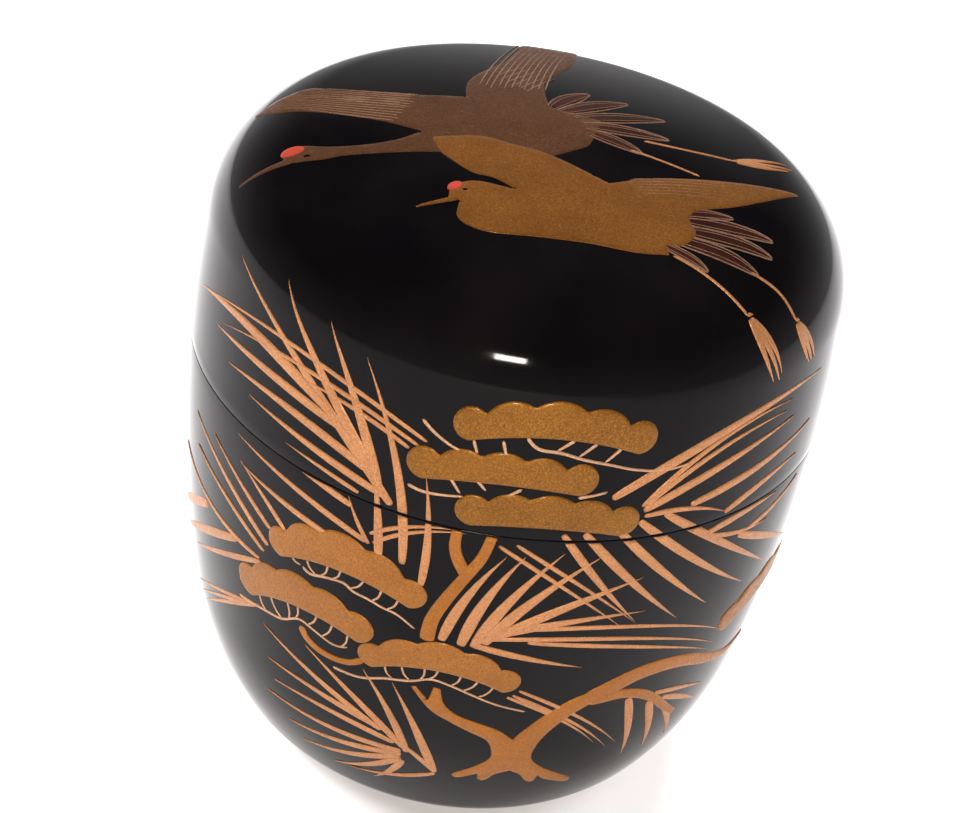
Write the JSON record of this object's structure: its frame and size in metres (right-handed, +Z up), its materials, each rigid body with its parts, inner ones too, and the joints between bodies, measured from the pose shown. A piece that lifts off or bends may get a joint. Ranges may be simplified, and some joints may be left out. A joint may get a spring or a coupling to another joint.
{
  "type": "lacquered tea caddy",
  "caption": "Round-shouldered black lacquered caddy for powdered tea, with a pull-off lid over an inner lip and raised gold pines, leaf sprays and flying cranes.",
  "frame": {"origin": "centre of the foot, on the surface that the caddy stands on", "axes": "+Z up along the turning axis, -Y towards the decorated front, +X to the right of the front"},
  "size_m": [0.0654, 0.0655, 0.0688],
  "materials": {
    "turned_wood": "fine-grained turned wood, sealed under the lacquer",
    "black_lacquer": "polished black urushi lacquer, mirror gloss with a faint softness",
    "inner_lacquer": "black urushi lacquer, satin gloss",
    "foot_lacquer": "black urushi lacquer, slightly rubbed on the ring",
    "pine_gold": "sprinkled gold powder, olive gold, satin",
    "branch_gold": "sprinkled gold powder, satin",
    "twig_gold": "fine raised gold line",
    "leaf_gold": "sprinkled copper-toned gold powder, satin",
    "crane_gold": "sprinkled brown-gold powder, satin",
    "crown_red": "vermilion lacquer",
    "feather_brown": "dark red-brown lacquer with pale gold outlines"
  },
  "bodies": {
    "caddy_body": {"body_wood_core": "turned_wood", "body_outer_lacquer": "black_lacquer", "body_inner_lacquer": "inner_lacquer", "body_foot_lacquer": "foot_lacquer", "body_pine_trunk": "branch_gold", "body_upper_branch": "branch_gold", "body_right_branch": "branch_gold", "body_pine_clumps": "pine_gold", "body_clump_twigs": "twig_gold", "body_leaf_spray_centre": "leaf_gold", "body_leaf_spray_left": "leaf_gold", "body_leaf_spray_low_left": "leaf_gold", "body_leaf_spray_right": "leaf_gold", "body_leaf_spray_low_right": "leaf_gold", "body_leaf_spray_seam": "leaf_gold", "body_long_stems": "leaf_gold", "body_back_pine": "pine_gold", "body_back_leaf_spray": "leaf_gold"},
    "lid": {"lid_wood_core": "turned_wood", "lid_outer_lacquer": "black_lacquer", "lid_inner_lacquer": "inner_lacquer", "lid_pine_clumps": "pine_gold", "lid_clump_twigs": "twig_gold", "lid_leaf_spray_left": "leaf_gold", "lid_leaf_spray_right": "leaf_gold", "crane_front": "crane_gold", "crane_rear": "crane_gold", "crane_crowns": "crown_red", "crane_tail_feathers": "feather_brown", "crane_legs": "leaf_gold"}
  },
  "joints": [
    {"name": "lid_lift", "type": "slide", "parent": "caddy_body", "child": "lid", "axis": [0, 0, 1], "range_m": [0, 0.04]}
  ]
}
